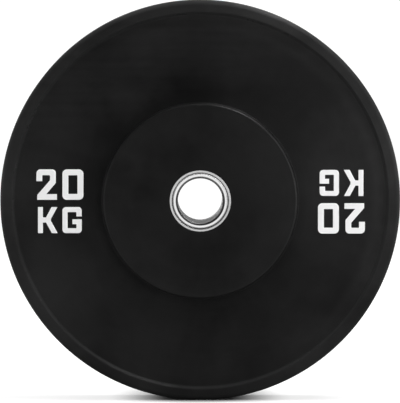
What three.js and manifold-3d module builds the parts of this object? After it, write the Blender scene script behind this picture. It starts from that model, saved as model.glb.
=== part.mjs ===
// Bumper plate for an Olympic barbell, standing on its tread.
// Millimetres, +Z up. The plate's axis is Y, its front face looks towards -Y,
// and the origin is the middle of the bore.

import * as THREE from "three";
import { mergeVertices } from "three/addons/utils/BufferGeometryUtils.js";
import Module from "manifold-3d";

// Rubber moulding
const plateDiameter = 450;
const hubWidth = 90;
const bossFootDiameter = 221;
const bossHeight = 10;
const bossDraftDegrees = 9;
const bossEdgeRadius = 4;
const bossFootRadius = 4;
const rimLipWidth = 12;
const rimLipHeight = 4;
const rimLipFall = 0.8;
const rimStepWidth = 3.4;
const rimStepRadius = 1.5;
const treadEdgeRadius = 6;
const hubMouthRadius = 1;

// Steel hub
const boreDiameter = 50.4;
const bushWall = 3.2;
const bushFlangeWidth = 2.6;
const bushFlangeDepth = 6;
const bushLipRadius = 2.4;
const bushRimRadius = 1;
const sleeveRingWidth = 3.3;
const sleeveEdgeRadius = 1;
const hubRecess = 0.6;

// Anchor disc inside the rubber
const anchorDiameter = 150;
const anchorThickness = 4;
const anchorWeldLeg = 4;
const anchorHoleCount = 8;
const anchorHoleDiameter = 16;

// Fits
const pressClearance = 0.3;
const bondClearance = 0.3;
const bushMeetingGap = 0.6;

// Roundness: flat facets round the axis and on the holes of the anchor disc, and the most that
// a chord may stand off the arc of a rounded corner
const rubberFacets = 80;
const steelFacets = 64;
const holeFacets = 16;
const chordError = 0.125;

// Radii and distances from the middle plane that several pieces share
const plateRadius = plateDiameter / 2;
const bossFace = hubWidth / 2;
const hubFace = bossFace - hubRecess;
const boreRadius = boreDiameter / 2;
const bushRadius = boreRadius + bushWall;
const flangeRadius = bushRadius + bushFlangeWidth;
const flangeSeat = hubFace - bushFlangeDepth;
const sleeveBoreRadius = bushRadius + pressClearance;
const counterboreRadius = flangeRadius + pressClearance;
const sleeveRadius = counterboreRadius + sleeveRingWidth;
const anchorBoreRadius = sleeveRadius + pressClearance;
const anchorHalf = anchorThickness / 2;
const weldFootRadius = anchorBoreRadius + anchorWeldLeg;
const anchorHoleCircle = (weldFootRadius + anchorDiameter / 2) / 2;

const wasm = await Module();
wasm.setup();

// One corner of an outline: distance from the axis, distance from the middle plane, rounding
function corner(radius, height, rounding = 0) {
  return { point: new THREE.Vector2(radius, height), rounding };
}

// The arc that rounds one corner, or the corner itself where it stays sharp. A rounding takes
// at most half of the wall on each side of its corner.
function roundCorner(before, { point, rounding }, after) {
  if (rounding === 0) return [point];
  const toBefore = before.clone().sub(point).normalize();
  const toAfter = after.clone().sub(point).normalize();
  const opening = Math.acos(toBefore.dot(toAfter));
  const room = Math.min(point.distanceTo(before), point.distanceTo(after)) / 2;
  const radius = Math.min(rounding, room * Math.tan(opening / 2));
  const start = point.clone().addScaledVector(toBefore, radius / Math.tan(opening / 2));
  const middle = toBefore.clone().add(toAfter).normalize();
  const centre = point.clone().addScaledVector(middle, radius / Math.sin(opening / 2));
  const from = start.clone().sub(centre).angle();
  const turn = Math.sign(toAfter.cross(toBefore)) * (Math.PI - opening);
  const widestStep = 2 * Math.acos(1 - Math.min(1, chordError / radius));
  const steps = Math.ceil(Math.abs(turn) / widestStep);
  return Array.from({ length: steps + 1 }, (_, i) => {
    const angle = from + (turn * i) / steps;
    return new THREE.Vector2(Math.cos(angle), Math.sin(angle)).multiplyScalar(radius).add(centre);
  });
}

// A closed outline with its corners rounded
function roundedOutline(corners) {
  const count = corners.length;
  const points = corners.flatMap((item, i) => {
    const before = corners[(i + count - 1) % count].point;
    const after = corners[(i + 1) % count].point;
    return roundCorner(before, item, after);
  });
  return [...points, points[0].clone()];
}

// The same corners on the far side of the middle plane, in the order that closes the outline
function mirrored(corners) {
  return corners.map(({ point, rounding }) => corner(point.x, -point.y, rounding)).reverse();
}

// A solid of revolution about Y. Every facet touches the true circle with its middle, so radii
// are exact across the flats, and one facet lies level at the bottom.
function revolve(corners, facets) {
  const halfFacet = Math.PI / facets;
  const points = roundedOutline(corners);
  for (const point of points) point.x /= Math.cos(halfFacet);
  return new THREE.LatheGeometry(points, facets, halfFacet, 2 * Math.PI);
}

function toSolid(geometry) {
  const bare = geometry.clone();
  bare.deleteAttribute("normal");
  bare.deleteAttribute("uv");
  const merged = mergeVertices(bare);
  return new wasm.Manifold(
    new wasm.Mesh({
      numProp: 3,
      vertProperties: new Float32Array(merged.getAttribute("position").array),
      triVerts: new Uint32Array(merged.getIndex().array),
    }),
  );
}

function toGeometry(solid) {
  const { vertProperties, triVerts } = solid.getMesh();
  const geometry = new THREE.BufferGeometry();
  geometry.setAttribute("position", new THREE.BufferAttribute(vertProperties, 3));
  geometry.setIndex(new THREE.BufferAttribute(triVerts, 1));
  geometry.computeVertexNormals();
  return geometry;
}

// Round bars parallel to the axis, one at each hole of the anchor disc
function barsThroughAnchor(radius, length) {
  return Array.from({ length: anchorHoleCount }, (_, i) => {
    const angle = (2 * Math.PI * (i + 0.5)) / anchorHoleCount;
    const bar = new THREE.CylinderGeometry(radius, radius, length, holeFacets);
    bar.translate(0, 0, anchorHoleCircle);
    bar.rotateY(angle);
    return toSolid(bar);
  });
}

// The moulding: boss, web, rim lip and tread on each side, and inside it the hole for the hub
// with the slot that the anchor disc fills, bridged by a rubber plug through each of its holes
function rubberBody() {
  const web = bossFace - bossHeight;
  const rimFace = web + rimLipHeight;
  const bossFoot = bossFootDiameter / 2;
  const bossTop = bossFoot - bossHeight * Math.tan(THREE.MathUtils.degToRad(bossDraftDegrees));
  const rimStepTop = plateRadius - rimLipWidth;
  const hubHole = sleeveRadius + bondClearance;
  const slotHalf = anchorHalf + bondClearance;
  const slotRadius = anchorDiameter / 2 + bondClearance;
  const weldLine = weldFootRadius + anchorHalf + bondClearance * Math.SQRT2;
  const frontHalf = [
    corner(plateRadius, rimFace - rimLipFall, treadEdgeRadius),
    corner(rimStepTop, rimFace, rimStepRadius),
    corner(rimStepTop - rimStepWidth, web, rimStepRadius),
    corner(bossFoot, web, bossFootRadius),
    corner(bossTop, bossFace, bossEdgeRadius),
    corner(hubHole, bossFace, hubMouthRadius),
    corner(hubHole, weldLine - hubHole),
    corner(weldLine - slotHalf, slotHalf),
    corner(slotRadius, slotHalf),
  ];
  const shell = toSolid(revolve([...frontHalf, ...mirrored(frontHalf)], rubberFacets));
  const plugLength = 2 * (slotHalf + anchorThickness);
  const plugs = barsThroughAnchor(anchorHoleDiameter / 2 - bondClearance, plugLength);
  return toGeometry(plugs.reduce((body, plug) => body.add(plug), shell));
}

// The steel tube: a counterbore at each end takes a bush flange, and the ring round it shows
function hubSleeve() {
  const counterboreFloor = flangeSeat - pressClearance;
  const half = [
    corner(sleeveRadius, hubFace, sleeveEdgeRadius),
    corner(counterboreRadius, hubFace, sleeveEdgeRadius),
    corner(counterboreRadius, counterboreFloor),
    corner(sleeveBoreRadius, counterboreFloor),
  ];
  return revolve([...half, ...mirrored(half)], steelFacets);
}

// The perforated disc, with a weld fillet on each side where it meets the sleeve
function anchorDisc() {
  const half = [
    corner(anchorDiameter / 2, anchorHalf),
    corner(weldFootRadius, anchorHalf),
    corner(anchorBoreRadius, anchorHalf + anchorWeldLeg),
  ];
  const disc = toSolid(revolve([...half, ...mirrored(half)], steelFacets));
  const cutters = barsThroughAnchor(anchorHoleDiameter / 2, 2 * anchorThickness);
  return toGeometry(cutters.reduce((body, cutter) => body.subtract(cutter), disc));
}

// A flanged liner: the flange sits in the sleeve's counterbore, and the lip is rolled into the bore
function bush() {
  const inner = bushMeetingGap / 2;
  return revolve(
    [
      corner(bushRadius, inner),
      corner(bushRadius, flangeSeat),
      corner(flangeRadius, flangeSeat),
      corner(flangeRadius, hubFace, bushRimRadius),
      corner(boreRadius, hubFace, bushLipRadius),
      corner(boreRadius, inner),
    ],
    steelFacets,
  );
}

function piece(name, geometry, material) {
  const mesh = new THREE.Mesh(geometry, material);
  mesh.name = name;
  return mesh;
}

const rubber = new THREE.MeshStandardMaterial({ color: 0x1c1c1c, roughness: 0.72, metalness: 0 });
const stainless = new THREE.MeshStandardMaterial({ color: 0xc9c9c7, roughness: 0.28, metalness: 1 });
const tubeSteel = new THREE.MeshStandardMaterial({ color: 0xb4b4b2, roughness: 0.34, metalness: 1 });
const plainSteel = new THREE.MeshStandardMaterial({ color: 0x6d6c69, roughness: 0.6, metalness: 1 });

const plate = new THREE.Group();
plate.name = "bumper_plate";
plate.add(piece("rubber_body", rubberBody(), rubber));
plate.add(piece("hub_sleeve", hubSleeve(), tubeSteel));
plate.add(piece("anchor_disc", anchorDisc(), plainSteel));

const rearBush = piece("rear_bush", bush(), stainless);
const frontBush = piece("front_bush", bush(), stainless.clone());
frontBush.rotation.z = Math.PI;
plate.add(frontBush, rearBush);

export default plate;
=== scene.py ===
"""Rubber bumper plate for a barbell, standing on its tread on a pale floor.

The plate's axis is Y, its front face looks towards -Y, and the origin is the middle of its bore.
Every length is in metres.
"""

import math

import bmesh
import bpy
from mathutils import Matrix, Vector


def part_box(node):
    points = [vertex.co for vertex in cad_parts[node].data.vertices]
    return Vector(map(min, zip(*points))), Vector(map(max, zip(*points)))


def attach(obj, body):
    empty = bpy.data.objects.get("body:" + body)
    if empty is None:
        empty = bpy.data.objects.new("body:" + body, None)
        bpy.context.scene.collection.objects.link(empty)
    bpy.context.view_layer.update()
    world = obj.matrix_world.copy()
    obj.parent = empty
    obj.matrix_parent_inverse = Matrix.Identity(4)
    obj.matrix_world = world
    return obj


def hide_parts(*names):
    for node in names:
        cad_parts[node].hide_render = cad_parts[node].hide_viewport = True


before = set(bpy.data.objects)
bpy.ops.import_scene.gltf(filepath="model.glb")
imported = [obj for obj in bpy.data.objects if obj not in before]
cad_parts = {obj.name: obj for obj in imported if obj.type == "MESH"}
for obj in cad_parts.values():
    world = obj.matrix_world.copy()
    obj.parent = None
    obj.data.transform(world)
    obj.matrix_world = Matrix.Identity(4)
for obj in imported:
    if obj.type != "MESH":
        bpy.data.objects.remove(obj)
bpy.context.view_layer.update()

bl_info = {
    "name": "Bumper Plate",
    "version": (1, 0, 0),
    "blender": (4, 5, 0),
    "location": "View3D > Sidebar > Bumper Plate",
    "description": "Models a rubber bumper plate with a steel hub and raised weight marks",
    "category": "Add Mesh",
}

MM = 0.001
QUARTER_TURN = math.pi / 2
HALF_TURN = math.pi

# Faces round the axis: a multiple of four, so that the roundest piece reaches its full radius
RUBBER_ROUND = 288
STEEL_ROUND = 192

# How near its expected place a vertex is found, and how near two vertices are the same one
SLACK = 0.02 * MM
SAME_PLACE = 0.0005 * MM

# Reach and ends of the frame's own nodes
BODY_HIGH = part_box("rubber_body")[1]
SLEEVE_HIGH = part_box("hub_sleeve")[1]
BUSH_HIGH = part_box("front_bush")[1]

PLATE_RADIUS = BODY_HIGH.z
BOSS_FACE = BODY_HIGH.y
SLEEVE_RADIUS = SLEEVE_HIGH.z
HUB_FACE = SLEEVE_HIGH.y
FLANGE_RADIUS = BUSH_HIGH.z
BUSH_INNER_END = BUSH_HIGH.y


def length(name, description, default):
    """A length in metres that shows in the panel."""
    return bpy.props.FloatProperty(
        name=name, description=description, default=default, unit="LENGTH", precision=4, min=0.0
    )


def share(name, description, default):
    """A plain number from 0 to 1 that shows in the panel."""
    return bpy.props.FloatProperty(
        name=name, description=description, default=default, subtype="FACTOR", min=0.0, max=1.0
    )


def colour(name, description, default):
    """A colour in linear values that shows in the panel."""
    return bpy.props.FloatVectorProperty(
        name=name, description=description, default=default, subtype="COLOR", min=0.0, max=1.0
    )


def power(name, description, default):
    """A lamp's power in watts that shows in the panel."""
    return bpy.props.FloatProperty(
        name=name, description=description, default=default, unit="POWER", min=0.0
    )


class MouldingSizes(bpy.types.PropertyGroup):
    """Sizes of the rubber moulding."""

    boss_foot_radius: length("Boss foot radius", "From the axis to the foot of the boss", 110.5 * MM)
    boss_height: length("Boss height", "How far the boss stands above the web", 10 * MM)
    boss_slope: length("Boss slope", "How far the boss narrows over its height", 0.9 * MM)
    boss_edge: length("Boss edge", "Rounding of the boss's outer edge", 3.6 * MM)
    boss_foot: length("Boss foot", "Rounding where the boss meets the web", 1.0 * MM)
    lip_width: length("Lip width", "From the tread to the inner edge of the rim lip", 12.9 * MM)
    lip_height: length("Lip height", "How far the rim lip stands above the web", 4 * MM)
    lip_fall: length("Lip fall", "How far the rim lip falls towards the tread", 1.8 * MM)
    step_width: length("Step width", "Width of the slope from the lip down to the web", 2.8 * MM)
    step_edge: length("Step edge", "Rounding of both edges of that slope", 1.6 * MM)
    tread_edge: length("Tread edge", "Rounding between the rim lip and the tread", 6 * MM)
    hub_mouth: length("Hub mouth", "Rounding of the rubber round the steel hub", 1 * MM)
    hub_gap: length("Hub gap", "Clearance between the rubber and the steel hub", 0.05 * MM)
    seam_width: length("Seam width", "Width of the mould seam round the tread", 1.2 * MM)
    seam_depth: length("Seam depth", "Depth of the mould seam round the tread", 0.25 * MM)


class HubSizes(bpy.types.PropertyGroup):
    """Sizes of the steel sleeve and of the two liners in it."""

    bore_radius: length("Bore radius", "Inner radius of the liners", 25.2 * MM)
    bush_radius: length("Liner radius", "Outer radius of a liner's tube", 28.4 * MM)
    flange_depth: length("Flange depth", "Thickness of a liner's flange", 6 * MM)
    press_gap: length("Press gap", "Clearance between a liner and the sleeve", 0.3 * MM)
    lip_edge: length("Lip edge", "Rounding from a liner's face into its bore", 2.8 * MM)
    rim_edge: length("Rim edge", "Rounding of a flange's outer edge", 1.1 * MM)
    ring_edge: length("Ring edge", "Rounding of the sleeve's end ring outside", 0.5 * MM)
    ring_inside: length("Ring inside", "Rounding of the sleeve's end ring inside", 1.5 * MM)


class MarkSizes(bpy.types.PropertyGroup):
    """Sizes of the raised weight marks."""

    reach: length("Reach", "From the axis to the far side of a mark", 184.9 * MM)
    top: length("Top", "From the axis to the top of the figures", 36.4 * MM)
    row_gap: length("Row gap", "Between the figures and the letters below them", 7.8 * MM)
    figure_height: length("Figure height", "Height of the figures", 34.65 * MM)
    shift_across: length("Shift across", "How far both marks sit right of the middle", 0.5 * MM)
    shift_down: length("Shift down", "How far both marks sit below the middle", 1.05 * MM)
    proud: length("Proud", "How far the marks stand above the web", 0.5 * MM)
    sunk: length("Sunk", "How far the marks reach into the rubber", 0.3 * MM)
    edge: length("Edge", "Rounding of the marks' edges", 0.15 * MM)
    drawn_in: length("Drawn in", "How far the mould draws the marks' outlines in", 0.22 * MM)


class PlateFinishes(bpy.types.PropertyGroup):
    """Colours and roughness of the plate's materials."""

    rubber: colour("Rubber", "Black rubber of the moulding", (0.007, 0.007, 0.007))
    rubber_roughness: share("Rubber roughness", "Roughness of the moulding", 0.55)
    rim: share("Pale rim", "How much paler the rim lip is than the web", 0.4)
    # Painted light that makes the step's slope paler
    dust: share("Painted light on step", "How much paler dust makes the step round the web", 0.7)
    # A darker patch on the web above the boss
    smudge: share("Smudge", "How much darker the smudge above the boss is", 0.34)
    handled: share("Handled boss", "How much darker the boss is round the hub", 0.3)
    mark: colour("Marks", "White rubber of the weight marks", (0.80, 0.80, 0.80))
    steel: colour("Liner steel", "Turned stainless steel of the liners", (0.76, 0.76, 0.76))
    sleeve: colour("Sleeve steel", "Turned steel of the sleeve", (0.51, 0.51, 0.51))
    steel_roughness: share("Steel roughness", "Roughness of the hub", 0.24)
    floor: colour("Floor", "Pale floor under the plate", (0.2, 0.2, 0.2))


class StudioSettings(bpy.types.PropertyGroup):
    """Where the camera stands and how bright the lamps are."""

    distance: length("Camera distance", "From the plate's middle to the camera", 6.5)
    azimuth: bpy.props.FloatProperty(
        name="Camera azimuth", description="Turn of the camera round the plate",
        default=math.radians(-0.38), subtype="ANGLE",
    )
    elevation: bpy.props.FloatProperty(
        name="Camera elevation", description="Rise of the camera above the plate's axis",
        default=math.radians(2.8), subtype="ANGLE",
    )
    ambient: share("Ambient", "Strength of the pale surroundings as a light", 0.3)
    key: power("Key lamps", "Power of the lamps above the right shoulder of both faces", 50.0)
    side: power("Side lamps", "Power of the lamps at the right of both faces", 23.0)
    fill: power("Fill lamps", "Power of the lamps at the left of both faces", 7.5)
    edge: power("Edge lamps", "Power of the lamps that graze both faces from the left", 7.5)
    haze: share("Haze", "How far the floor's own glow fades the shadow near the plate", 0.74)


# Modelling helpers


def deselect():
    """Leaves nothing selected, so that the next operator acts on its own object alone."""
    if bpy.context.object and bpy.context.object.mode != "OBJECT":
        bpy.ops.object.mode_set(mode="OBJECT")
    bpy.ops.object.select_all(action="DESELECT")


def edit(piece):
    """Opens one piece in edit mode, with faces to select."""
    deselect()
    piece.select_set(True)
    bpy.context.view_layer.objects.active = piece
    bpy.ops.object.mode_set(mode="EDIT")
    bpy.ops.mesh.select_mode(type="FACE")


def select(piece, kind, test):
    """Selects the faces or edges of the open piece that pass a test."""
    bpy.ops.mesh.select_all(action="DESELECT")
    mesh = bmesh.from_edit_mesh(piece.data)
    found = [item for item in getattr(mesh, kind) if test(item)]
    if not found:
        raise RuntimeError(f"{piece.name}: nothing to select among its {kind}")
    for item in found:
        item.select_set(True)
    bmesh.update_edit_mesh(piece.data)


def off_axis(point):
    """Distance of a point from the plate's axis."""
    return math.hypot(point.x, point.z)


def on_circle(radius, height):
    """A test for the edges of the circle at one radius and one distance along the axis."""

    def test(edge):
        return all(
            abs(off_axis(v.co) - radius) < SLACK and abs(v.co.y - height) < SLACK for v in edge.verts
        )

    return test


def cylinder(name, radius, near, far, sides):
    """A closed cylinder along the plate's axis, from one distance along it to another."""
    deselect()
    bpy.ops.mesh.primitive_cylinder_add(
        vertices=sides,
        radius=radius,
        depth=far - near,
        end_fill_type="NGON",
        location=(0, (near + far) / 2, 0),
        rotation=(QUARTER_TURN, 0, 0),
    )
    piece = bpy.context.object
    piece.name = name
    piece.data.name = name
    bpy.ops.object.transform_apply(location=True, rotation=True, scale=True)
    return piece


def pick_cap(piece, side):
    """Selects the flat end of a cylinder that looks along the axis to one side."""
    mesh = bmesh.from_edit_mesh(piece.data)
    end = max(side * v.co.y for v in mesh.verts)
    select(piece, "faces", lambda face: all(side * v.co.y > end - SLACK for v in face.verts))


def inset(width, rise=0.0):
    """Insets the selected end by a width, and raises it by a distance along its normal."""
    bpy.ops.mesh.inset(thickness=width, depth=rise, use_even_offset=True, use_boundary=True)


def push(distance):
    """Extrudes the selected end along the plate's axis."""
    bpy.ops.mesh.extrude_region_move(TRANSFORM_OT_translate={"value": (0, distance, 0)})


def round_circle(piece, radius, height, rounding, turn, segments):
    """Rounds a circular edge, where the surface turns by an angle, to a radius of rounding."""
    select(piece, "edges", on_circle(radius, height))
    bpy.ops.mesh.bevel(
        offset=rounding * math.tan(turn / 2),
        offset_type="OFFSET",
        segments=segments,
        profile=0.5,
        affect="EDGES",
        clamp_overlap=False,
    )


def join_open_ends(piece):
    """Joins the two open circles of a piece with a wall."""
    bpy.ops.mesh.select_all(action="DESELECT")
    bpy.ops.mesh.select_mode(type="EDGE")
    bpy.ops.mesh.select_non_manifold(
        extend=False, use_wire=False, use_boundary=True, use_multi_face=False,
        use_non_contiguous=False, use_verts=False,
    )
    bpy.ops.mesh.bridge_edge_loops()


def close_up(piece, smooth_angle=math.radians(35)):
    """Turns the faces outwards, leaves edit mode and shades the piece smooth, its flats flat."""
    bpy.ops.mesh.select_all(action="SELECT")
    bpy.ops.mesh.remove_doubles(threshold=SAME_PLACE)
    bpy.ops.mesh.normals_make_consistent(inside=False)
    bpy.ops.object.mode_set(mode="OBJECT")
    bpy.ops.object.shade_smooth_by_angle(angle=smooth_angle)
    weighted = piece.modifiers.new("Flat faces stay flat", "WEIGHTED_NORMAL")
    weighted.weight = 100
    weighted.keep_sharp = True
    bpy.ops.object.modifier_apply(modifier=weighted.name)


def copy_of(piece, name, place):
    """A copy of a finished shape with a mesh of its own, turned and moved to its place."""
    made = piece.copy()
    made.data = piece.data.copy()
    made.name = name
    made.data.name = name
    made.data.transform(place)
    bpy.context.collection.objects.link(made)
    return made


def finish_piece(piece, material, slot, *nodes):
    """Gives a piece its material and its body, and hides the nodes that it stands for; its slot is not used.
    """
    piece.data.materials.clear()
    piece.data.materials.append(material)
    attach(piece, "root")
    if nodes:
        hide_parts(*nodes)


# Materials

GREY = (0.5, 0.5, 0.5, 1.0)


def new_material(name):
    """A material with an empty node tree but for its output and its Principled shader."""
    material = bpy.data.materials.new(name)
    material.use_nodes = True
    tree = material.node_tree
    shader = tree.nodes["Principled BSDF"]
    return material, tree, shader


def add_node(tree, kind, inputs=None, **settings):
    """Adds a node, sets its settings, and sets or links its inputs by name or number."""
    made = tree.nodes.new(kind)
    for key, value in settings.items():
        setattr(made, key, value)
    for key, value in (inputs or {}).items():
        if isinstance(value, bpy.types.NodeSocket):
            tree.links.new(value, made.inputs[key])
        else:
            made.inputs[key].default_value = value
    return made


def add_math(tree, operation, first, second=0.0):
    """One sum, difference or the like of two values, as a socket."""
    return add_node(tree, "ShaderNodeMath", {0: first, 1: second}, operation=operation).outputs[0]


def product(tree, first, *others):
    """The product of two or more values, as a socket."""
    for other in others:
        first = add_math(tree, "MULTIPLY", first, other)
    return first


def add_length(tree, across, up):
    """The length of a vector with two parts, as a socket."""
    squares = [product(tree, part, part) for part in (across, up)]
    return add_math(tree, "SQRT", add_math(tree, "ADD", *squares))


def tinted(tree, tone, gain):
    """A colour made brighter or darker by a value, as a socket."""
    inputs = {0: tone, "Scale": gain}
    return add_node(tree, "ShaderNodeVectorMath", inputs, operation="SCALE").outputs["Vector"]


def add_noise(tree, vector, scale, detail, roughness=0.5):
    """A noise from 0 to 1, as a socket."""
    inputs = {"Vector": vector, "Scale": scale, "Detail": detail, "Roughness": roughness}
    return add_node(tree, "ShaderNodeTexNoise", inputs).outputs["Fac"]


def swing(tree, noise, reach=1.0):
    """A noise as a swing to both sides of zero, as a socket."""
    return product(tree, add_math(tree, "SUBTRACT", noise, 0.5), reach)


def round_and_along(tree, vector):
    """Parts of a place, its distance from the axis, and a vector whose noise runs round in rings."""
    parts = add_node(tree, "ShaderNodeSeparateXYZ", {0: vector}).outputs
    radius = add_length(tree, parts["X"], parts["Z"])
    profile = add_node(tree, "ShaderNodeCombineXYZ", {"X": radius, "Y": parts["Y"]})
    return parts, radius, profile.outputs[0]


def fading(tree, value, full, gone):
    """A mask that is 1 up to one value and fades to 0 at another."""
    return add_node(
        tree,
        "ShaderNodeMapRange",
        {"Value": value, "From Min": full, "From Max": gone, "To Min": 1.0, "To Max": 0.0},
        interpolation_type="SMOOTHSTEP",
    ).outputs["Result"]


def near_radius(tree, radius, middle, full, gone):
    """A mask of a ring round the axis that fades on both sides of its middle radius."""
    away = add_math(tree, "ABSOLUTE", add_math(tree, "SUBTRACT", radius, middle))
    return fading(tree, away, full, gone)


def new_group(name, inputs, outputs):
    """A shader node group with named sockets: a vector, colours, and numbers for all the rest."""
    kinds = {"Vector": "NodeSocketVector", "Tone": "NodeSocketColor", "Color": "NodeSocketColor"}
    tree = bpy.data.node_groups.new(name, "ShaderNodeTree")
    for label, default in inputs.items():
        kind = kinds.get(label, "NodeSocketFloat")
        socket = tree.interface.new_socket(name=label, in_out="INPUT", socket_type=kind)
        if default is not None:
            socket.default_value = default
    for label in outputs:
        kind = kinds.get(label, "NodeSocketFloat")
        tree.interface.new_socket(name=label, in_out="OUTPUT", socket_type=kind)
    return tree, tree.nodes.new("NodeGroupInput"), tree.nodes.new("NodeGroupOutput")


def moulded_rubber_group():
    """Cloudy tone, uneven sheen and fine grain of moulded rubber, shared by all rubbers."""
    name = "Moulded rubber"
    if name in bpy.data.node_groups:
        return bpy.data.node_groups[name]
    tree, given, put_out = new_group(
        name,
        {"Vector": None, "Tone": GREY, "Roughness": 0.5, "Cloud": 0.2, "Grain scale": 900.0},
        ["Color", "Roughness", "Height"],
    )
    patch_share = 0.2
    tone_per_sheen = 2.0
    vector = given.outputs["Vector"]
    clouds = add_noise(tree, vector, scale=11.0, detail=4.0)
    patches = add_noise(tree, vector, scale=95.0, detail=3.0)
    grain = add_noise(tree, vector, given.outputs["Grain scale"], detail=2.0, roughness=0.6)
    cloudy = product(tree, clouds, 1 - patch_share)
    mixed = add_math(tree, "ADD", cloudy, product(tree, patches, patch_share))
    uneven = swing(tree, mixed, given.outputs["Cloud"])
    gain = add_math(tree, "ADD", product(tree, uneven, tone_per_sheen), 1.0)
    rough = add_math(tree, "SUBTRACT", given.outputs["Roughness"], uneven)
    tree.links.new(tinted(tree, given.outputs["Tone"], gain), put_out.inputs["Color"])
    tree.links.new(rough, put_out.inputs["Roughness"])
    tree.links.new(grain, put_out.inputs["Height"])
    return tree


def turned_steel_group():
    """Fine rings that a lathe leaves round the axis, painted shade in the bore and in the groove, and a
    painted dark reflection on the lip, all painted lighter towards the top.
    """
    name = "Turned steel"
    if name in bpy.data.node_groups:
        return bpy.data.node_groups[name]
    tree, given, put_out = new_group(
        name,
        {
            "Vector": None,
            "Tone": GREY,
            "Roughness": 0.25,
            "Ring scale": 2600.0,
            "Bore radius": 0.0,
            "Groove radius": 0.0,
        },
        ["Color", "Roughness", "Height"],
    )
    parts, radius, profile = round_and_along(tree, given.outputs["Vector"])
    rings = add_noise(tree, profile, given.outputs["Ring scale"], detail=3.0, roughness=0.7)
    stains = add_noise(tree, given.outputs["Vector"], scale=60.0, detail=3.0)

    # How far from its middle each mask is full, and where it is gone
    lip_from_bore = 1.4 * MM
    bore_fade = 0.2 * MM, 1.1 * MM
    lip_fade = 0.8 * MM, 1.35 * MM
    groove_fade = 0.9 * MM, 1.7 * MM
    above_fade = 0.65, 0.05
    lip_radius = add_math(tree, "ADD", given.outputs["Bore radius"], lip_from_bore)
    in_bore = fading(tree, add_math(tree, "SUBTRACT", radius, lip_radius), *bore_fade)
    on_lip = near_radius(tree, radius, lip_radius, *lip_fade)
    in_groove = near_radius(tree, radius, given.outputs["Groove radius"], *groove_fade)
    above = fading(tree, add_math(tree, "DIVIDE", parts["Z"], radius), *above_fade)

    # How dark the painted shade makes each place, and how much lighter it is painted towards the top
    painted_shade = 0.0
    for mask, darkness, lighter_on_top in ((in_bore, 0.5, 0.0), (on_lip, 0.95, 0.13), (in_groove, 0.52, 0.32)):
        left = add_math(tree, "SUBTRACT", darkness, product(tree, above, lighter_on_top))
        painted_shade = add_math(tree, "MAXIMUM", painted_shade, product(tree, mask, left))
    ring_tone, ring_sheen, stain_sheen, hollow_roughness = 0.16, 0.22, 0.12, 0.3
    unshaded = add_math(tree, "SUBTRACT", 1.0, painted_shade)
    shade = add_math(tree, "ADD", swing(tree, rings, ring_tone), 1.0)
    tone = tinted(tree, given.outputs["Tone"], product(tree, shade, unshaded))
    uneven = add_math(tree, "ADD", swing(tree, rings, ring_sheen), swing(tree, stains, stain_sheen))
    worn = add_math(tree, "ADD", given.outputs["Roughness"], uneven)
    rougher_in_hollows = product(tree, add_math(tree, "MAXIMUM", in_bore, in_groove), hollow_roughness)
    tree.links.new(tone, put_out.inputs["Color"])
    tree.links.new(add_math(tree, "ADD", worn, rougher_in_hollows), put_out.inputs["Roughness"])
    tree.links.new(rings, put_out.inputs["Height"])
    return tree


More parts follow.
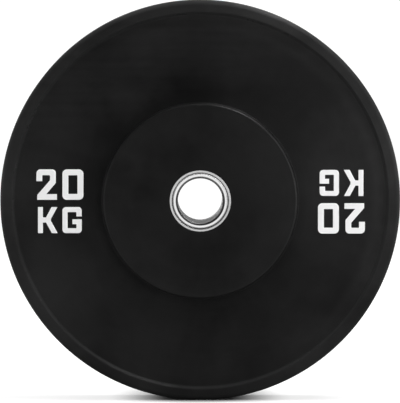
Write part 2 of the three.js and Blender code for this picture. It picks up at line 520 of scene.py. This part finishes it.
def moulding_wear_and_light_group():
    """What use and the mould leave on black rubber, and painted light on the web and the step, as a change
    to its colour and roughness.
    """
    name = "Moulding wear"
    if name in bpy.data.node_groups:
        return bpy.data.node_groups[name]
    tree, given, put_out = new_group(
        name,
        {
            "Vector": None,
            "Color": GREY,
            "Roughness": 0.5,
            "Rim": 0.5,
            "Dust": 0.5,
            "Smudge": 0.5,
            "Handled": 0.3,
        },
        ["Color", "Roughness"],
    )
    up_and_left = (-0.25, 0, 0.97)
    right_and_up = (0.94, 0, 0.34)
    wipe_scale = (6, 60, 150)
    polish = 0.22
    polish_fade = 1.5 * MM, 4 * MM
    size = bpy.context.scene.plate_moulding
    step_middle = PLATE_RADIUS - size.lip_width - size.step_width / 2
    boss_edge_middle = size.boss_foot_radius - 2 * MM
    vector = given.outputs["Vector"]
    parts, radius, profile = round_and_along(tree, vector)

    def towards(direction):
        """How far a place lies in one direction from the axis."""
        both = {0: vector, 1: direction}
        return add_node(tree, "ShaderNodeVectorMath", both, operation="DOT_PRODUCT").outputs["Value"]

    # Pale rim lip and outer web, painted light on the step and in the corner below it on the right, and a
    # boss that is darker where it is handled
    rim = fading(tree, radius, full=213 * MM, gone=208 * MM)
    outer_web = fading(tree, radius, full=205 * MM, gone=125 * MM)
    handled = fading(tree, radius, full=55 * MM, gone=85 * MM)
    # A band of painted light that brightens the step's slope
    step = near_radius(tree, radius, step_middle, full=0.6 * MM, gone=2.0 * MM)
    # Painted light in the corner below the step on the right, which lifts the lip's shadow there
    below_step = fading(tree, radius, full=210.5 * MM, gone=213 * MM)
    web_end = fading(tree, radius, full=200 * MM, gone=188 * MM)
    aside = add_math(tree, "DIVIDE", towards(right_and_up), radius)
    right_corner_light = product(tree, below_step, web_end, fading(tree, aside, full=0.75, gone=0.2))

    # Use has polished the edges of the boss and of the step
    boss_edge = near_radius(tree, radius, boss_edge_middle, *polish_fade)
    step_edges = near_radius(tree, radius, step_middle, *polish_fade)
    polished = product(tree, add_math(tree, "MAXIMUM", boss_edge, step_edges), polish)

    # Blotchy edges of the darker patch above the boss and of the patches of painted light on the web
    wobble = swing(tree, add_noise(tree, vector, scale=24.0, detail=3.0), 110 * MM)
    upwards = towards(up_and_left)
    # A darker patch on the web above the boss, faded out near the boss's foot
    smudge = product(
        tree,
        fading(tree, radius, full=122 * MM, gone=108 * MM),
        fading(tree, add_math(tree, "ADD", radius, wobble), full=114 * MM, gone=158 * MM),
        fading(tree, add_math(tree, "DIVIDE", upwards, radius), full=0.8, gone=-0.25),
    )
    off_boss = fading(tree, radius, full=150 * MM, gone=105 * MM)

    def painted_light_patch(right, up, full, gone):
        """A patch of painted light round a place on the web."""
        across = add_math(tree, "SUBTRACT", parts["X"], right)
        higher = add_math(tree, "SUBTRACT", parts["Z"], up)
        away = add_math(tree, "ADD", add_length(tree, across, higher), wobble)
        return product(tree, off_boss, fading(tree, away, full, gone))

    # Rings that the mould left, and wipe marks that run across near the top
    rings = swing(tree, add_noise(tree, profile, scale=260.0, detail=2.0))
    drawn = add_node(tree, "ShaderNodeVectorMath", {0: vector, 1: wipe_scale}, operation="MULTIPLY")
    wipes = add_noise(tree, drawn.outputs["Vector"], scale=1.0, detail=3.0)
    wiped = swing(tree, wipes, fading(tree, upwards, full=170 * MM, gone=60 * MM))

    # What makes the rubber paler, and by what share of its tone
    gain = 1.0
    for mask, amount in (
        # Painted light: both patches, the right corner and the step; the rubber's own tone: the rim, the
        # outer web, the rings and the wipes
        (painted_light_patch(right=172 * MM, up=15 * MM, full=45 * MM, gone=145 * MM), 0.42),
        (painted_light_patch(right=-145 * MM, up=-88 * MM, full=10 * MM, gone=65 * MM), 0.3),
        (right_corner_light, 0.6),
        (rim, given.outputs["Rim"]),
        (outer_web, 0.3),
        (step, given.outputs["Dust"]),
        (rings, 0.3),
        (wiped, 0.9),
    ):
        gain = add_math(tree, "ADD", gain, product(tree, mask, amount))

    # What makes it darker
    for mask, amount in ((smudge, given.outputs["Smudge"]), (handled, given.outputs["Handled"])):
        kept = add_math(tree, "SUBTRACT", 1.0, product(tree, mask, amount))
        gain = product(tree, gain, kept)
    smooth = add_math(tree, "SUBTRACT", given.outputs["Roughness"], polished)
    tree.links.new(tinted(tree, given.outputs["Color"], gain), put_out.inputs["Color"])
    tree.links.new(smooth, put_out.inputs["Roughness"])
    return tree


def grouped_material(name, group, settings, bump_strength, bump_distance, shader_settings):
    """A material whose colour, roughness and bump come from a shared group."""
    material, tree, shader = new_material(name)
    place = add_node(tree, "ShaderNodeTexCoord")
    effect = add_node(tree, "ShaderNodeGroup", node_tree=group)
    tree.links.new(place.outputs["Object"], effect.inputs["Vector"])
    for key, value in settings.items():
        effect.inputs[key].default_value = value
    bump = add_node(
        tree,
        "ShaderNodeBump",
        {"Strength": bump_strength, "Distance": bump_distance, "Height": effect.outputs["Height"]},
    )
    tree.links.new(effect.outputs["Color"], shader.inputs["Base Color"])
    tree.links.new(effect.outputs["Roughness"], shader.inputs["Roughness"])
    tree.links.new(bump.outputs["Normal"], shader.inputs["Normal"])
    for key, value in shader_settings.items():
        shader.inputs[key].default_value = value
    return material


def black_rubber(name, turned, cloud):
    """Satin black rubber of the moulding, with more or less of the mould's turned sheen."""
    look = bpy.context.scene.plate_finishes
    material = grouped_material(
        name,
        moulded_rubber_group(),
        {
            "Tone": (*look.rubber, 1.0),
            "Roughness": look.rubber_roughness,
            "Cloud": cloud,
            "Grain scale": 1100.0,
        },
        bump_strength=0.25,
        bump_distance=0.05 * MM,
        shader_settings={"Specular IOR Level": 0.08, "Anisotropic": turned, "Anisotropic Rotation": 0.25},
    )
    tree = material.node_tree
    shader = tree.nodes["Principled BSDF"]
    round_axis = add_node(tree, "ShaderNodeTangent", direction_type="RADIAL", axis="Y")
    tree.links.new(round_axis.outputs["Tangent"], shader.inputs["Tangent"])

    # The wear and the painted light go between the rubber's own group and the shader
    place = add_node(tree, "ShaderNodeTexCoord")
    wear_and_light = add_node(tree, "ShaderNodeGroup", node_tree=moulding_wear_and_light_group())
    tree.links.new(place.outputs["Object"], wear_and_light.inputs["Vector"])
    settings = {"Rim": look.rim, "Dust": look.dust, "Smudge": look.smudge, "Handled": look.handled}
    for key, value in settings.items():
        wear_and_light.inputs[key].default_value = value
    for output, target in (("Color", "Base Color"), ("Roughness", "Roughness")):
        tree.links.new(shader.inputs[target].links[0].from_socket, wear_and_light.inputs[output])
        tree.links.new(wear_and_light.outputs[output], shader.inputs[target])
    return material


def white_rubber():
    """Matt white rubber of the weight marks."""
    look = bpy.context.scene.plate_finishes
    return grouped_material(
        "White rubber",
        moulded_rubber_group(),
        {"Tone": (*look.mark, 1.0), "Roughness": 0.6, "Cloud": 0.06, "Grain scale": 1500.0},
        bump_strength=0.12,
        bump_distance=0.03 * MM,
        shader_settings={"Specular IOR Level": 0.3},
    )


def turned_steel(name, tone, roughness, ring_scale):
    """Turned steel, with painted shade in the bore and in the groove round the liner, and a painted dark
    reflection on its lip.
    """
    groove_from_flange = 0.1 * MM
    settings = {
        "Tone": (*tone, 1.0),
        "Roughness": roughness,
        "Ring scale": ring_scale,
        "Bore radius": bpy.context.scene.plate_hub.bore_radius,
        "Groove radius": FLANGE_RADIUS + groove_from_flange,
    }
    return grouped_material(
        name,
        turned_steel_group(),
        settings,
        bump_strength=0.04,
        bump_distance=0.02 * MM,
        shader_settings={"Metallic": 1.0},
    )


# Pieces


class PLATE_OT_moulding(bpy.types.Operator):
    """Adds the rubber moulding: bosses, webs, rim lips, tread and the hole for the hub"""

    bl_idname = "plate.moulding"
    bl_label = "Rubber moulding"

    def execute(self, context):
        size = context.scene.plate_moulding
        web = BOSS_FACE - size.boss_height
        lip = web + size.lip_height
        lip_radius = PLATE_RADIUS - size.lip_width
        step_radius = lip_radius - size.step_width
        boss_top = size.boss_foot_radius - size.boss_slope
        hub_hole = SLEEVE_RADIUS + size.hub_gap
        tread_half = lip - size.lip_fall

        piece = cylinder("rubber_moulding", PLATE_RADIUS, -tread_half, tread_half, RUBBER_ROUND)
        edit(piece)
        for side in (-1, 1):
            pick_cap(piece, side)
            inset(size.lip_width, size.lip_fall)
            inset(size.step_width, -size.lip_height)
            inset(step_radius - size.boss_foot_radius)
            inset(size.boss_slope, size.boss_height)
            inset(boss_top - hub_hole)
            bpy.ops.mesh.delete(type="FACE")
        join_open_ends(piece)

        # Radius, height, rounding, turn and segments of each circle
        step_turn = math.atan2(size.lip_height, size.step_width)
        boss_turn = math.atan2(size.boss_height, size.boss_slope)
        lip_turn = math.atan2(size.lip_fall, size.lip_width)
        circles = [
            (PLATE_RADIUS, tread_half, size.tread_edge, QUARTER_TURN - lip_turn, 10),
            (lip_radius, lip, size.step_edge, step_turn + lip_turn, 5),
            (step_radius, web, size.step_edge, step_turn, 5),
            (size.boss_foot_radius, web, size.boss_foot, boss_turn, 8),
            (boss_top, BOSS_FACE, size.boss_edge, boss_turn, 8),
            (hub_hole, BOSS_FACE, size.hub_mouth, QUARTER_TURN, 5),
        ]
        for side in (-1, 1):
            for radius, height, rounding, turn, segments in circles:
                round_circle(piece, radius, side * height, rounding, turn, segments)
        self.cut_seam(piece, size)
        close_up(piece)
        web_rubber = black_rubber("Black rubber", turned=0.93, cloud=0.8)
        finish_piece(piece, web_rubber, "rubber", "rubber_body")
        piece.data.materials.append(black_rubber("Boss rubber", turned=0.1, cloud=1.2))
        for face in piece.data.polygons:
            if off_axis(face.center) < boss_top:
                face.material_index = 1
        return {"FINISHED"}

    @staticmethod
    def cut_seam(piece, size):
        """Marks the mould seam as a fine groove round the middle of the tread."""
        tread = PLATE_RADIUS - SLACK
        for height in (-size.seam_width / 2, 0.0, size.seam_width / 2):
            select(piece, "faces", lambda face: all(off_axis(v.co) > tread for v in face.verts))
            bpy.ops.mesh.bisect(plane_co=(0, height, 0), plane_no=(0, 1, 0))
        select(piece, "edges", on_circle(PLATE_RADIUS, 0.0))
        shrink = 1 - size.seam_depth / PLATE_RADIUS
        bpy.ops.transform.resize(value=(shrink, 1, shrink), center_override=(0, 0, 0))


class PLATE_OT_sleeve(bpy.types.Operator):
    """Adds the steel sleeve that is moulded into the rubber"""

    bl_idname = "plate.sleeve"
    bl_label = "Hub sleeve"

    def execute(self, context):
        size = context.scene.plate_hub
        look = context.scene.plate_finishes
        counterbore = FLANGE_RADIUS + size.press_gap
        bore = size.bush_radius + size.press_gap
        piece = cylinder("hub_sleeve_ring", SLEEVE_RADIUS, -HUB_FACE, HUB_FACE, STEEL_ROUND)
        edit(piece)
        for side in (-1, 1):
            pick_cap(piece, side)
            inset(SLEEVE_RADIUS - counterbore)
            push(-side * (size.flange_depth + size.press_gap))
            inset(counterbore - bore)
            bpy.ops.mesh.delete(type="FACE")
        join_open_ends(piece)
        for side in (-1, 1):
            for radius, rounding in ((SLEEVE_RADIUS, size.ring_edge), (counterbore, size.ring_inside)):
                round_circle(piece, radius, side * HUB_FACE, rounding, QUARTER_TURN, segments=8)
        close_up(piece)
        rougher = 0.04
        steel = turned_steel("Sleeve steel", look.sleeve, look.steel_roughness + rougher, ring_scale=2200.0)
        finish_piece(piece, steel, "sleeve_steel", "hub_sleeve")
        return {"FINISHED"}


class PLATE_OT_liners(bpy.types.Operator):
    """Adds the two flanged liners that are pressed into the sleeve"""

    bl_idname = "plate.liners"
    bl_label = "Bore liners"

    def execute(self, context):
        size = context.scene.plate_hub
        look = context.scene.plate_finishes
        seat = size.flange_depth - HUB_FACE

        # The front liner: its flange, its tube towards the middle plane, and its rolled lip
        front = cylinder("front_liner", FLANGE_RADIUS, -HUB_FACE, seat, STEEL_ROUND)
        edit(front)
        pick_cap(front, -1)
        inset(FLANGE_RADIUS - size.bore_radius)
        bpy.ops.mesh.delete(type="FACE")
        pick_cap(front, 1)
        inset(FLANGE_RADIUS - size.bush_radius)
        push(BUSH_INNER_END - seat)
        inset(size.bush_radius - size.bore_radius)
        bpy.ops.mesh.delete(type="FACE")
        join_open_ends(front)
        round_circle(front, FLANGE_RADIUS, -HUB_FACE, size.rim_edge, QUARTER_TURN, segments=8)
        round_circle(front, size.bore_radius, -HUB_FACE, size.lip_edge, QUARTER_TURN, segments=10)
        close_up(front)

        rear = copy_of(front, "rear_liner", Matrix.Rotation(HALF_TURN, 4, "Z"))
        steel = turned_steel("Liner steel", look.steel, look.steel_roughness, ring_scale=2600.0)
        finish_piece(front, steel, "stainless", "front_bush")
        finish_piece(rear, steel, "stainless", "rear_bush")
        return {"FINISHED"}


class PLATE_OT_anchor(bpy.types.Operator):
    """Gives the hidden anchor disc its plain steel"""

    bl_idname = "plate.anchor"
    bl_label = "Anchor disc"

    def execute(self, context):
        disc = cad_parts["anchor_disc"]
        steel = turned_steel("Plain steel", (0.15, 0.15, 0.145), roughness=0.5, ring_scale=900.0)
        disc.data.materials.clear()
        disc.data.materials.append(steel)
        return {"FINISHED"}


# Outlines of the weight marks, from the lower left corner of each character. A corner is its place
# across, its place up, and its rounding, in units of which a figure is 35 tall and a letter 30.
# The second character of each row starts further right, and the K a little way in.

FIGURE_UNITS = 35
LETTER_UNITS = 30
SECOND_UNITS = 29.5
K_UNITS = 1.7
FIGURE_TWO = [
    [
        (0.9, 0, 0), (23.75, 0, 0), (23.75, 6.9, 0), (11.9, 6.9, 0), (22.5, 19.3, 2), (22.5, 35, 4.6),
        (0, 35, 4.8), (0, 21.2, 0), (7.1, 21.2, 0), (7.1, 28, 0.6), (15.45, 28, 0.8), (15.45, 22.5, 2),
        (0.9, 5.8, 0.8),
    ]
]
LETTER_K = [
    [
        (0, 0, 0), (6.05, 0, 0), (6.05, 12, 0.5), (9.3, 12, 0.5), (15.8, 0, 0), (22.9, 0, 0),
        (15.2, 14.1, 0.8), (15.2, 16.3, 0.8), (22.6, 30.1, 0), (15.5, 30.1, 0), (9.25, 18.3, 0.5),
        (6.05, 18.3, 0.5), (6.05, 30.1, 0), (0, 30.1, 0),
    ]
]
LETTER_G = [
    [
        (0, 0, 4.2), (22.4, 0, 4.2), (22.4, 16.1, 0), (11.3, 16.1, 0), (11.3, 10.1, 0), (15.9, 10.1, 0),
        (15.9, 6, 0.4), (6.3, 6, 0.4), (6.3, 23.9, 0.4), (15.8, 23.9, 0.4), (15.8, 19, 0), (22.4, 19, 0),
        (22.4, 30, 4.2), (0, 30, 4.2),
    ]
]


def figure_zero():
    """The figure 0: a rounded frame round an upright slot."""
    wide, tall, stroke, bar = 24.3, FIGURE_UNITS, 7.25, 7.1
    corner, slot_corner = 5.2, 0.3
    right, high = wide - stroke, tall - bar
    outer = [(0, 0), (wide, 0), (wide, tall), (0, tall)]
    inner = [(stroke, bar), (stroke, high), (right, high), (right, bar)]
    return [[(*place, corner) for place in outer], [(*place, slot_corner) for place in inner]]


def rounded(corners, steps=6):
    """The points of a closed outline, with an arc at each corner that has a rounding."""
    points = []
    for i, (x, y, rounding) in enumerate(corners):
        here = Vector((x, y))
        if rounding == 0:
            points.append(here)
            continue
        back = (Vector(corners[i - 1][:2]) - here).normalized()
        ahead = (Vector(corners[(i + 1) % len(corners)][:2]) - here).normalized()
        opening = back.angle(ahead)
        start = here + back * rounding / math.tan(opening / 2)
        centre = here + (back + ahead).normalized() * rounding / math.sin(opening / 2)
        sweep = -math.copysign(HALF_TURN - opening, back.x * ahead.y - back.y * ahead.x)
        spoke = start - centre
        for step in range(steps + 1):
            points.append(centre + Matrix.Rotation(sweep * step / steps, 2) @ spoke)
    return points


class PLATE_OT_marks(bpy.types.Operator):
    """Adds the raised weight marks on both faces, upright on one side and turned over on the other"""

    bl_idname = "plate.marks"
    bl_label = "Weight marks"

    def execute(self, context):
        size = context.scene.plate_marks
        web = BOSS_FACE - context.scene.plate_moulding.boss_height
        white = white_rubber()
        flat = self.mark("flat_mark", size)
        stand = Matrix.Rotation(QUARTER_TURN, 4, "X")
        out = Matrix.Translation((size.shift_across, -web, -size.shift_down))
        for face, turn_to_face in (("front", 0.0), ("rear", HALF_TURN)):
            about = Matrix.Rotation(turn_to_face, 4, "Z")
            for end, turn_over in (("left", 0.0), ("right", HALF_TURN)):
                over = Matrix.Rotation(turn_over, 4, "Y")
                piece = copy_of(flat, f"weight_mark_{face}_{end}", about @ out @ over @ stand)
                finish_piece(piece, white, "weight_mark")
        bpy.data.objects.remove(flat)
        return {"FINISHED"}

    @staticmethod
    def mark(name, size):
        """The figures over the letters, lying on the XY plane with their top along +Y."""
        unit = size.figure_height / FIGURE_UNITS
        left = -size.reach
        figures = size.top - size.figure_height
        letters = figures - size.row_gap - LETTER_UNITS * unit
        places = [
            (FIGURE_TWO, left, figures),
            (figure_zero(), left + SECOND_UNITS * unit, figures),
            (LETTER_K, left + K_UNITS * unit, letters),
            (LETTER_G, left + SECOND_UNITS * unit, letters),
        ]
        deselect()
        curve = bpy.data.curves.new(name, "CURVE")
        curve.dimensions = "2D"
        curve.fill_mode = "BOTH"
        for outlines, across, up in places:
            for corners in outlines:
                points = rounded(corners)
                spline = curve.splines.new("POLY")
                spline.points.add(len(points) - 1)
                for slot, point in zip(spline.points, points):
                    slot.co = (across + point.x * unit, up + point.y * unit, 0, 1)
                spline.use_cyclic_u = True
        curve.extrude = (size.proud + size.sunk) / 2 - size.edge
        curve.bevel_depth = size.edge
        curve.bevel_resolution = 2
        curve.offset = -size.edge - size.drawn_in
        piece = bpy.data.objects.new(name, curve)
        bpy.context.collection.objects.link(piece)
        piece.location.z = (size.proud - size.sunk) / 2
        piece.select_set(True)
        bpy.context.view_layer.objects.active = piece
        bpy.ops.object.convert(target="MESH")
        bpy.ops.object.transform_apply(location=True, rotation=True, scale=True)
        edit(piece)
        close_up(piece, smooth_angle=math.radians(50))
        return piece


# Stage

# From the plate's middle to each lamp
LAMP_DISTANCE = 1.6


def look_at_middle(made, away):
    """Links a lamp or camera that stands away from the plate, and turns it to the plate's middle."""
    made.rotation_mode = "QUATERNION"
    made.rotation_quaternion = (-away).to_track_quat("-Z", "Y")
    bpy.context.scene.collection.objects.link(made)


def lamp(name, watts, width, turn, tilt):
    """A large soft lamp that looks at the plate's middle.

    Its turn is counted in degrees from the right towards the top, and its tilt from straight in front.
    """
    data = bpy.data.lights.new(name, "AREA")
    data.energy = watts
    data.shape = "SQUARE"
    data.size = width
    turn, tilt = math.radians(turn), math.radians(tilt)
    away = Vector((math.cos(turn) * math.sin(tilt), -math.cos(tilt), math.sin(turn) * math.sin(tilt)))
    made = bpy.data.objects.new(name, data)
    made.location = away * LAMP_DISTANCE
    look_at_middle(made, away)


def seen_by_eye_and_gloss(tree):
    """1 for camera, glossy and transmission rays, and 0 for those that only carry light."""
    path = add_node(tree, "ShaderNodeLightPath")
    seen = add_math(tree, "MAXIMUM", path.outputs["Is Camera Ray"], path.outputs["Is Glossy Ray"])
    return add_math(tree, "MAXIMUM", seen, path.outputs["Is Transmission Ray"])


class PLATE_OT_stage(bpy.types.Operator):
    """Adds the camera, the pale floor, the pale surroundings and the lamps"""

    bl_idname = "plate.stage"
    bl_label = "Stage"

    def execute(self, context):
        studio = context.scene.plate_studio
        self.camera(studio)
        self.floor(context.scene.plate_finishes, studio.haze)
        self.surroundings(studio)
        self.flags()
        rear_key_share = 0.3
        lamp("Front key lamp", studio.key, width=0.85, turn=66, tilt=88)
        lamp("Rear key lamp", studio.key * rear_key_share, width=0.85, turn=114, tilt=102)

        # Name, power, width, turn and tilt of the lamps that are alike on both sides
        lamps = [
            ("side", studio.side, 1.5, 17, 52),
            ("fill", studio.fill, 1.2, 178, 50),
            ("edge", studio.edge, 0.9, 180, 80),
        ]
        for name, watts, width, turn, tilt in lamps:
            lamp(f"Front {name} lamp", watts, width, turn, tilt)
            lamp(f"Rear {name} lamp", watts, width, 180 - turn, 180 - tilt)
        context.scene.view_settings.view_transform = "Standard"
        return {"FINISHED"}

    @staticmethod
    def camera(studio):
        """Looks at the plate from the photograph's place, through a long lens."""
        frame_tall = 403
        pixels_per_metre = 884.5
        shift_across, shift_up = 0.05, 2.45
        data = bpy.data.cameras.new("Camera")
        data.sensor_width = 36.0
        data.lens = pixels_per_metre * studio.distance * data.sensor_width / frame_tall
        data.shift_x = -shift_across / frame_tall
        data.shift_y = -shift_up / frame_tall
        data.clip_end = 200.0
        flat = math.cos(studio.elevation)
        right = math.sin(studio.azimuth) * flat
        ahead = math.cos(studio.azimuth) * flat
        away = Vector((right, -ahead, math.sin(studio.elevation)))
        made = bpy.data.objects.new("Camera", data)
        made.location = away * studio.distance
        look_at_middle(made, away)
        bpy.context.scene.camera = made

    @staticmethod
    def floor(look, haze):
        """A wide pale floor, whose own glow fades the shadow away from the plate's foot."""
        foot_ahead, foot_behind = 18 * MM, 40 * MM
        fade_across, fade_ahead, fade_behind = 79 * MM, 47 * MM, 160 * MM
        floor_width = 160.0
        deselect()
        bpy.ops.mesh.primitive_plane_add(size=floor_width, location=(0, 0, -PLATE_RADIUS))
        made = bpy.context.object
        made.name = "Floor"
        material, tree, shader = new_material("Pale floor")
        shader.inputs["Base Color"].default_value = (*look.floor, 1.0)
        shader.inputs["Roughness"].default_value = 0.9
        shader.inputs["Specular IOR Level"].default_value = 0.0
        shader.inputs["Emission Color"].default_value = (1, 1, 1, 1)
        place = add_node(tree, "ShaderNodeTexCoord")
        parts = add_node(tree, "ShaderNodeSeparateXYZ", {0: place.outputs["Object"]})
        y = parts.outputs["Y"]
        ahead = add_math(tree, "DIVIDE", add_math(tree, "ADD", y, foot_ahead), -fade_ahead)
        behind = add_math(tree, "DIVIDE", add_math(tree, "SUBTRACT", y, foot_behind), fade_behind)
        along = add_math(tree, "MAXIMUM", add_math(tree, "MAXIMUM", ahead, behind), 0.0)
        across = add_math(tree, "DIVIDE", parts.outputs["X"], fade_across)
        far = add_length(tree, across, along)
        near_glow = product(tree, fading(tree, far, full=1.37, gone=0.42), haze)
        far_glow = product(tree, fading(tree, far, full=10, gone=2), 1 - haze)
        glow = add_math(tree, "ADD", near_glow, far_glow)
        strength = product(tree, seen_by_eye_and_gloss(tree), glow)
        tree.links.new(strength, shader.inputs["Emission Strength"])
        made.data.materials.append(material)

    @staticmethod
    def surroundings(studio):
        """White where the camera, metal and glass see it, and softer as a light."""
        world = bpy.data.worlds.new("Surroundings")
        bpy.context.scene.world = world
        world.use_nodes = True
        tree = world.node_tree
        back = tree.nodes["Background"]
        back.inputs["Color"].default_value = (1, 1, 1, 1)
        seen = seen_by_eye_and_gloss(tree)
        rest = product(tree, add_math(tree, "SUBTRACT", 1.0, seen), studio.ambient)
        tree.links.new(add_math(tree, "ADD", seen, rest), back.inputs["Strength"])
        world.cycles.sampling_method = "NONE"

    @staticmethod
    def flags():
        """Dark drums that gloss alone sees, so that bright metal has something dark to reflect."""
        flag_glow = 0.12
        material, tree, shader = new_material("Flag grey")
        shader.inputs["Base Color"].default_value = (0.02, 0.02, 0.02, 1.0)
        shader.inputs["Roughness"].default_value = 1.0
        shader.inputs["Specular IOR Level"].default_value = 0.0
        shader.inputs["Emission Color"].default_value = (1, 1, 1, 1)
        shader.inputs["Emission Strength"].default_value = flag_glow

        # A drum round the whole stage, and a small one before each end of the hub
        stage_radius, stage_reach = 2.2, 5.0
        hub_radius, hub_near, hub_far = 85 * MM, 85 * MM, 160 * MM
        aside = Vector((-16 * MM, 0, -22 * MM))
        drums = [("Studio_flag", stage_radius, -stage_reach, stage_reach, Vector())]
        for name, side in (("Front_hub_flag", -1), ("Rear_hub_flag", 1)):
            near, far = sorted((side * hub_near, side * hub_far))
            drums.append((name, hub_radius, near, far, aside))
        for name, radius, near, far, middle in drums:
            deselect()
            bpy.ops.mesh.primitive_cylinder_add(
                vertices=96,
                radius=radius,
                depth=far - near,
                end_fill_type="NOTHING",
                location=middle + Vector((0, (near + far) / 2, 0)),
                rotation=(QUARTER_TURN, 0, 0),
            )
            made = bpy.context.object
            made.name = name
            made.data.materials.append(material)
            for kind in ("camera", "diffuse", "transmission", "volume_scatter", "shadow"):
                setattr(made, f"visible_{kind}", False)


class PLATE_PT_sidebar(bpy.types.Panel):
    """Lists the plate's sizes, finishes and pieces"""

    bl_idname = "PLATE_PT_sidebar"
    bl_label = "Bumper Plate"
    bl_space_type = "VIEW_3D"
    bl_region_type = "UI"
    bl_category = "Bumper Plate"

    def draw(self, context):
        for name, group in SETTINGS.items():
            box = self.layout.box()
            box.label(text=group.__doc__)
            for key in group.__annotations__:
                box.prop(getattr(context.scene, name), key)
        for operator in OPERATORS:
            self.layout.operator(operator.bl_idname)


SETTINGS = {
    "plate_moulding": MouldingSizes,
    "plate_hub": HubSizes,
    "plate_marks": MarkSizes,
    "plate_finishes": PlateFinishes,
    "plate_studio": StudioSettings,
}
OPERATORS = [
    PLATE_OT_stage,
    PLATE_OT_moulding,
    PLATE_OT_sleeve,
    PLATE_OT_liners,
    PLATE_OT_anchor,
    PLATE_OT_marks,
]


def register():
    for group in SETTINGS.values():
        bpy.utils.register_class(group)
    for operator in OPERATORS:
        bpy.utils.register_class(operator)
    bpy.utils.register_class(PLATE_PT_sidebar)
    for name, group in SETTINGS.items():
        setattr(bpy.types.Scene, name, bpy.props.PointerProperty(type=group))


def unregister():
    for name in SETTINGS:
        delattr(bpy.types.Scene, name)
    bpy.utils.unregister_class(PLATE_PT_sidebar)
    for operator in reversed(OPERATORS):
        bpy.utils.unregister_class(operator)
    for group in reversed(SETTINGS.values()):
        bpy.utils.unregister_class(group)


def main():
    """Builds the plate and its stage."""
    register()
    bpy.ops.plate.stage()
    bpy.ops.plate.moulding()
    bpy.ops.plate.sleeve()
    bpy.ops.plate.liners()
    bpy.ops.plate.anchor()
    bpy.ops.plate.marks()


if __name__ == "__main__":
    main()
